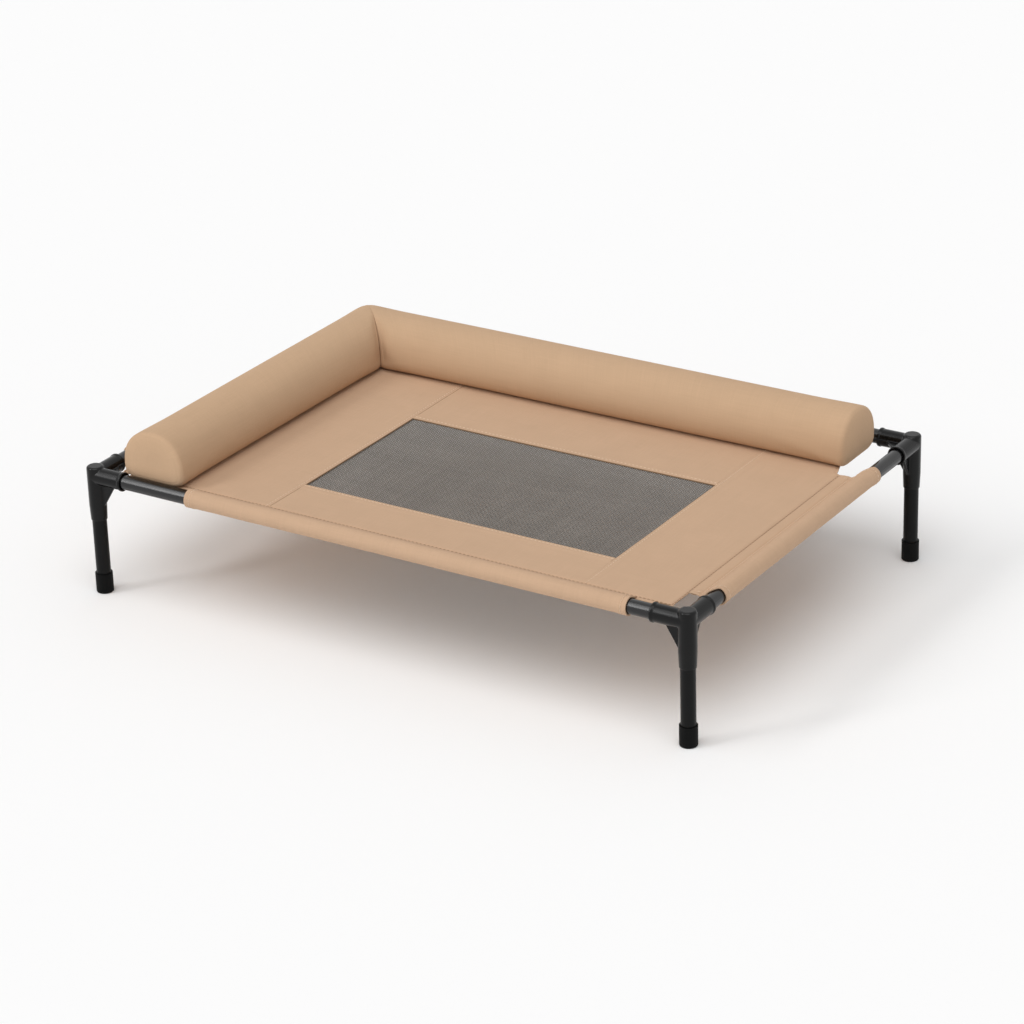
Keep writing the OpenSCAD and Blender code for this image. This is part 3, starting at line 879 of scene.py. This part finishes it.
# Bolster
CROWN_POWER = 2.2
BASE_POWER = 4.0
BASE_FLAT = 1.05
BELLY = 15 * MM
OUTER_SWELL = 3 * MM
END_ROUND = 5 * MM
END_SWELL = 1.5 * MM
END_SEAM_INSET = 0.5 * MM
END_SEAM_DEPTH = 0.9 * MM
SEAM_DIP = 0.5 * MM
SEAM_TUCK = 2.2 * MM
TUCK_LOW = 16 * MM
TUCK_FROM = 0.15
TUCK_OVER = 0.7
SEAM_W = 8 * MM
SEAM_ROWS = np.array([4.0, 2.2, 1.0, 0.15]) * MM
SEAM_GAP = 0.02 * MM
ROUND_STEPS = 5
SKIN_STEP = 7.5 * MM
SKIN_POINTS = 60
OUTLINE_POINTS = 2001
SKIN_LEVELS = 2
DISC_SHARES = (0.0, 0.2, 0.4, 0.6, 0.78, 0.9, 1.0)

# Cloth simulation of the bolster's skin
SLACK = 0.6 * MM
SLACK_RUN = 6 * SEAM_W
CAP = 5 * MM
BASE_HELD = 1.5 * MM
PRESSURE = 10.0
MASS = 0.3
QUALITY = 6
STRETCH = 20
SHEAR = 6
BEND = 1
FRAMES = 20


def roll_section(inset):
    """The roll's section, drawn in by inset all round, from the middle of its base and back to it:
    offset across, and height above the deck, at even steps round the skin. Its outer half is the
    fuller one."""
    turn = np.linspace(-math.pi / 2, 1.5 * math.pi, OUTLINE_POINTS)
    crown = np.sin(turn) >= 0
    power = np.where(crown, CROWN_POWER, BASE_POWER)
    rise = np.abs(np.sin(turn)) ** (2 / power)
    half = np.where(np.cos(turn) < 0, ROLL_W / 2 + OUTER_SWELL, ROLL_W / 2) - inset
    across = half * np.sign(np.cos(turn)) * np.abs(np.cos(turn)) ** (2 / power)
    upper = BELLY + (ROLL_H - BELLY - inset) * rise
    lower = BELLY - (BELLY - inset) * np.minimum(1, BASE_FLAT * rise)
    dense = np.stack([across, np.where(crown, upper, lower)], axis=-1)
    length = path_length(dense)
    even = np.linspace(0, length[-1], SKIN_POINTS + 1)
    return np.stack([np.interp(even, length, dense[:, i]) for i in range(2)], axis=-1)


def ring(section, depth):
    """A section set at a depth, or depths, from the roll's free end."""
    return np.stack([section[:, 0], np.broadcast_to(depth, len(section)), section[:, 1]], axis=-1)


def roll_skin(length, slack):
    """Rings of one roll's skin, from the middle of its end panel to the middle of the mitre seam:
    across, from the free end, and up. slack draws the skin in between its seams."""
    rim = roll_section(END_ROUND)
    middle = np.array([0.0, ROLL_H / 2])
    rings = []
    for share in DISC_SHARES:
        rings.append(ring(middle + (rim - middle) * share, -END_SWELL * (1 - share**3)))
    rings.append(ring(roll_section(END_ROUND + END_SEAM_INSET), END_SEAM_DEPTH))
    for step in range(ROUND_STEPS + 1):
        turn = math.pi / 2 * step / ROUND_STEPS
        inset = END_ROUND * (1 - math.sin(turn))
        rings.append(ring(roll_section(inset), END_ROUND * (1 - math.cos(turn))))
    full = roll_section(0.0)
    inward = (roll_section(MM) - full) / MM
    off_middle = np.abs(full[:, 0]) / (ROLL_W / 2)
    side = smooth((off_middle - TUCK_FROM) / TUCK_OVER) * smooth(full[:, 1] / TUCK_LOW)
    mitre = length - full[:, 0]
    run = length - END_ROUND
    count = round(run / SKIN_STEP)
    places = np.concatenate([np.arange(1, count) * run / count, run - SEAM_ROWS])
    for from_end in places:
        from_seam = run - from_end
        drawn = slack * smooth(from_seam / SLACK_RUN) * smooth(from_end / SLACK_RUN)
        dip = (SEAM_DIP + SEAM_TUCK * side) * (1 - smooth(from_seam / (SEAM_W * (1 + side)))) ** 2
        section = full + inward * (drawn + dip)[:, None]
        rings.append(ring(section, END_ROUND + from_end / run * (mitre - END_ROUND)))
    seam = full + inward * (SEAM_DIP + SEAM_TUCK * side)[:, None]
    for share in DISC_SHARES[::-1]:
        face = middle + (seam - middle) * share
        rings.append(ring(face, length - face[:, 0] - SEAM_GAP))
    return np.array(rings)


def inflate(skin):
    """Lets cloth with air pressure inside fill out the skin. Its base and seams stay where they are."""
    rings = len(skin)
    points = skin[:, :-1].reshape(-1, 3)
    index = np.arange(len(points)).reshape(rings, -1)
    turned = np.roll(index, -1, axis=1)
    faces = np.stack([index[:-1], turned[:-1], turned[1:], index[1:]], axis=-1).reshape(-1, 4)
    mesh = bpy.data.meshes.new("inflating")
    mesh.from_pydata(points.tolist(), [], faces.tolist())
    weld = bmesh.new()
    weld.from_mesh(mesh)
    order = weld.verts.layers.int.new("order")
    for vert in weld.verts:
        vert[order] = vert.index
    bmesh.ops.remove_doubles(weld, verts=weld.verts, dist=WELD)
    bmesh.ops.recalc_face_normals(weld, faces=weld.faces)
    weld.to_mesh(mesh)
    kept = np.array([vert[order] for vert in weld.verts])
    weld.free()
    bag = bpy.data.objects.new("inflating", mesh)
    bpy.context.scene.collection.objects.link(bag)
    row = kept // index.shape[1]
    seams = (np.abs(row - len(DISC_SHARES)) < 2) | (row >= rings - len(DISC_SHARES) - len(SEAM_ROWS))
    base = points[kept, 2] < BASE_HELD
    held = np.flatnonzero(seams | base).tolist()
    group = bag.vertex_groups.new(name="held")
    group.add(held, 1.0, "REPLACE")
    cloth = bag.modifiers.new("cloth", "CLOTH")
    settings = cloth.settings
    settings.quality = QUALITY
    settings.mass = MASS
    settings.tension_stiffness = STRETCH
    settings.compression_stiffness = STRETCH
    settings.shear_stiffness = SHEAR
    settings.bending_stiffness = BEND
    settings.use_pressure = True
    settings.uniform_pressure_force = PRESSURE
    settings.vertex_group_mass = "held"
    settings.effector_weights.gravity = 0
    cloth.point_cache.frame_start = 1
    cloth.point_cache.frame_end = FRAMES
    scene = bpy.context.scene
    for step in range(1, FRAMES + 1):
        scene.frame_set(step)
    graph = bpy.context.evaluated_depsgraph_get()
    filled = bag.evaluated_get(graph).data
    after = np.zeros(len(kept) * 3, np.float32)
    filled.vertices.foreach_get("co", after)
    moved = np.zeros_like(points)
    moved[kept] = after.reshape(-1, 3) - points[kept]
    scene.frame_set(1)
    bpy.data.objects.remove(bag)
    size = np.linalg.norm(moved, axis=1)
    moved *= np.where(size > CAP, CAP / np.maximum(size, 1e-9), 1.0)[:, None]
    for end in (0, rings - 1):
        moved[index[end]] = moved[index[end, 0]]
    return moved.reshape(rings, -1, 3)


def roll_piece(side, length, place):
    """One roll of the bolster. place turns across, from the free end and up into the shared frame."""
    skin = roll_skin(length, SLACK)
    moved = inflate(skin)
    skin = skin + np.concatenate([moved, moved[:, :1]], axis=1)
    around = path_length(roll_section(0.0))
    depth = path_length(skin[:, SKIN_POINTS // 2])
    flat = np.stack(np.broadcast_arrays(around[None, :], depth[:, None]), axis=-1)
    world = place(skin[..., 0], skin[..., 1], skin[..., 2])
    level = np.maximum(world[..., 2], DECK_TOP) - deck_drop(world[..., 0], world[..., 1])
    world = np.concatenate([world[..., :2], level[..., None]], axis=-1)
    shell = Shell()
    shell.grid(world, flat)
    rough = bpy.data.objects.new("rough", shell.mesh("rough"))
    bpy.context.scene.collection.objects.link(rough)
    subdivide = rough.modifiers.new("subdivide", "SUBSURF")
    subdivide.levels = SKIN_LEVELS
    graph = bpy.context.evaluated_depsgraph_get()
    mesh = bpy.data.meshes.new_from_object(rough.evaluated_get(graph))
    bpy.data.objects.remove(rough)
    mesh.shade_smooth()
    name = side + "_bolster"
    piece = add_piece(name, mesh, [roll_tan_painted_bounce])
    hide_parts(f"{side}_bolster_cover", f"{side}_bolster_end", f"{side}_bolster_filling")


roll_piece(
    "left",
    ROLL_Y - LEFT_END_Y,
    lambda across, depth, up: np.stack([ROLL_X + across, LEFT_END_Y + depth, DECK_TOP + up], axis=-1),
)
roll_piece(
    "back",
    BACK_END_X - ROLL_X,
    lambda across, depth, up: np.stack([BACK_END_X - depth, ROLL_Y - across, DECK_TOP + up], axis=-1),
)

# Studio: a pale floor, soft light from above and a camera at the photograph's angle
FLOOR_HALF = 12.0
SKY_LEVEL = 0.46
KEY_LEVEL = 0.36
KEY_SPREAD = 50.0
KEY_FROM = Vector((0.12, -0.37, 0.92))
FILL_LEVEL = 0.05
FILL_SPREAD = 70.0
FILL_FROM = Vector((0.55, -0.4, 0.73))
STRIP_LEFT = 0.52
STRIP_SPREAD = 10.0
STRIP_LEVELS = {29.0: 0.055, 39.0: 0.068, 49.0: 0.055, 59.0: 0.04, 69.0: 0.03, 79.0: 0.02}
FLOOR_WHITE = (0.98, 0.98, 0.98, 1.0)
floor_mesh = bpy.data.meshes.new("floor")
floor_corners = [(-FLOOR_HALF, -FLOOR_HALF, 0), (FLOOR_HALF, -FLOOR_HALF, 0),
                 (FLOOR_HALF, FLOOR_HALF, 0), (-FLOOR_HALF, FLOOR_HALF, 0)]
floor_mesh.from_pydata(floor_corners, [], [(0, 1, 2, 3)])
floor = bpy.data.objects.new("floor", floor_mesh)
bpy.context.scene.collection.objects.link(floor)
floor_finish = Finish("floor_white", Roughness=0.9, Specular_IOR_Level=0.1)
floor_finish.set("Base Color", FLOOR_WHITE)
floor_mesh.materials.append(floor_finish.material)

# The sky is white where it shows or is reflected, and dimmer as a light
world = bpy.data.worlds.new("studio")
bpy.context.scene.world = world
world.use_nodes = True
sky = world.node_tree
paths = sky.nodes.new("ShaderNodeLightPath")
shown = paths.outputs["Is Camera Ray"]
for ray in ("Is Glossy Ray", "Is Transmission Ray"):
    either = sky.nodes.new("ShaderNodeMath")
    either.operation = "MAXIMUM"
    sky.links.new(shown, either.inputs[0])
    sky.links.new(paths.outputs[ray], either.inputs[1])
    shown = either.outputs[0]
strength = sky.nodes.new("ShaderNodeMapRange")
sky.links.new(shown, strength.inputs["Value"])
strength.inputs["To Min"].default_value = SKY_LEVEL
strength.inputs["To Max"].default_value = 1.0
sky.links.new(strength.outputs["Result"], sky.nodes["Background"].inputs["Strength"])
sky.nodes["Background"].inputs["Color"].default_value = (1.0, 1.0, 1.0, 1.0)


def soft_light(name, level, spread, source):
    """Soft light from one side of the sky. A level of 1 shows a facing surface in its own colour."""
    light = bpy.data.lights.new(name, "SUN")
    light.energy = level * math.pi
    light.angle = math.radians(spread)
    lamp = bpy.data.objects.new(name, light)
    lamp.rotation_euler = (-source).to_track_quat("-Z", "Y").to_euler()
    bpy.context.scene.collection.objects.link(lamp)


soft_light("key", KEY_LEVEL, KEY_SPREAD, KEY_FROM)
soft_light("fill", FILL_LEVEL, FILL_SPREAD, FILL_FROM)
# A tall strip of narrow lamps on the left gives the rails their long highlight
for tilt, lamp_level in STRIP_LEVELS.items():
    reach = math.sqrt(1 - STRIP_LEFT**2)
    turn = math.radians(tilt)
    source = Vector((-STRIP_LEFT, -reach * math.cos(turn), reach * math.sin(turn)))
    soft_light(f"strip_{tilt:.0f}", lamp_level, STRIP_SPREAD, source)

# Camera, fitted to the photograph
CAMERA_AZIMUTH = 0.573231636
CAMERA_ELEVATION = 0.427373823
CAMERA_ROLL = -0.031220494
CAMERA_DISTANCE = 3.348405
CAMERA_TARGET = Vector((0.033002, -0.041549, 0.090))
FOCAL_PIXELS = 3576.268
IMAGE_PIXELS = 1024
SENSOR = 36.0
level = math.cos(CAMERA_ELEVATION)
back = Vector((
    math.sin(CAMERA_AZIMUTH) * level,
    -math.cos(CAMERA_AZIMUTH) * level,
    math.sin(CAMERA_ELEVATION),
))
across = Vector((math.cos(CAMERA_AZIMUTH), math.sin(CAMERA_AZIMUTH), 0.0))
upward = back.cross(across)
tilted_x = across * math.cos(CAMERA_ROLL) + upward * math.sin(CAMERA_ROLL)
tilted_y = upward * math.cos(CAMERA_ROLL) - across * math.sin(CAMERA_ROLL)
camera = bpy.data.objects.new("camera", bpy.data.cameras.new("camera"))
camera.data.sensor_width = SENSOR
camera.data.lens = FOCAL_PIXELS / IMAGE_PIXELS * SENSOR
turned = Matrix((tilted_x, tilted_y, back)).transposed().to_4x4()
camera.matrix_world = Matrix.Translation(CAMERA_TARGET + back * CAMERA_DISTANCE) @ turned
bpy.context.scene.collection.objects.link(camera)
bpy.context.scene.camera = camera
bpy.context.scene.view_settings.view_transform = "Standard"
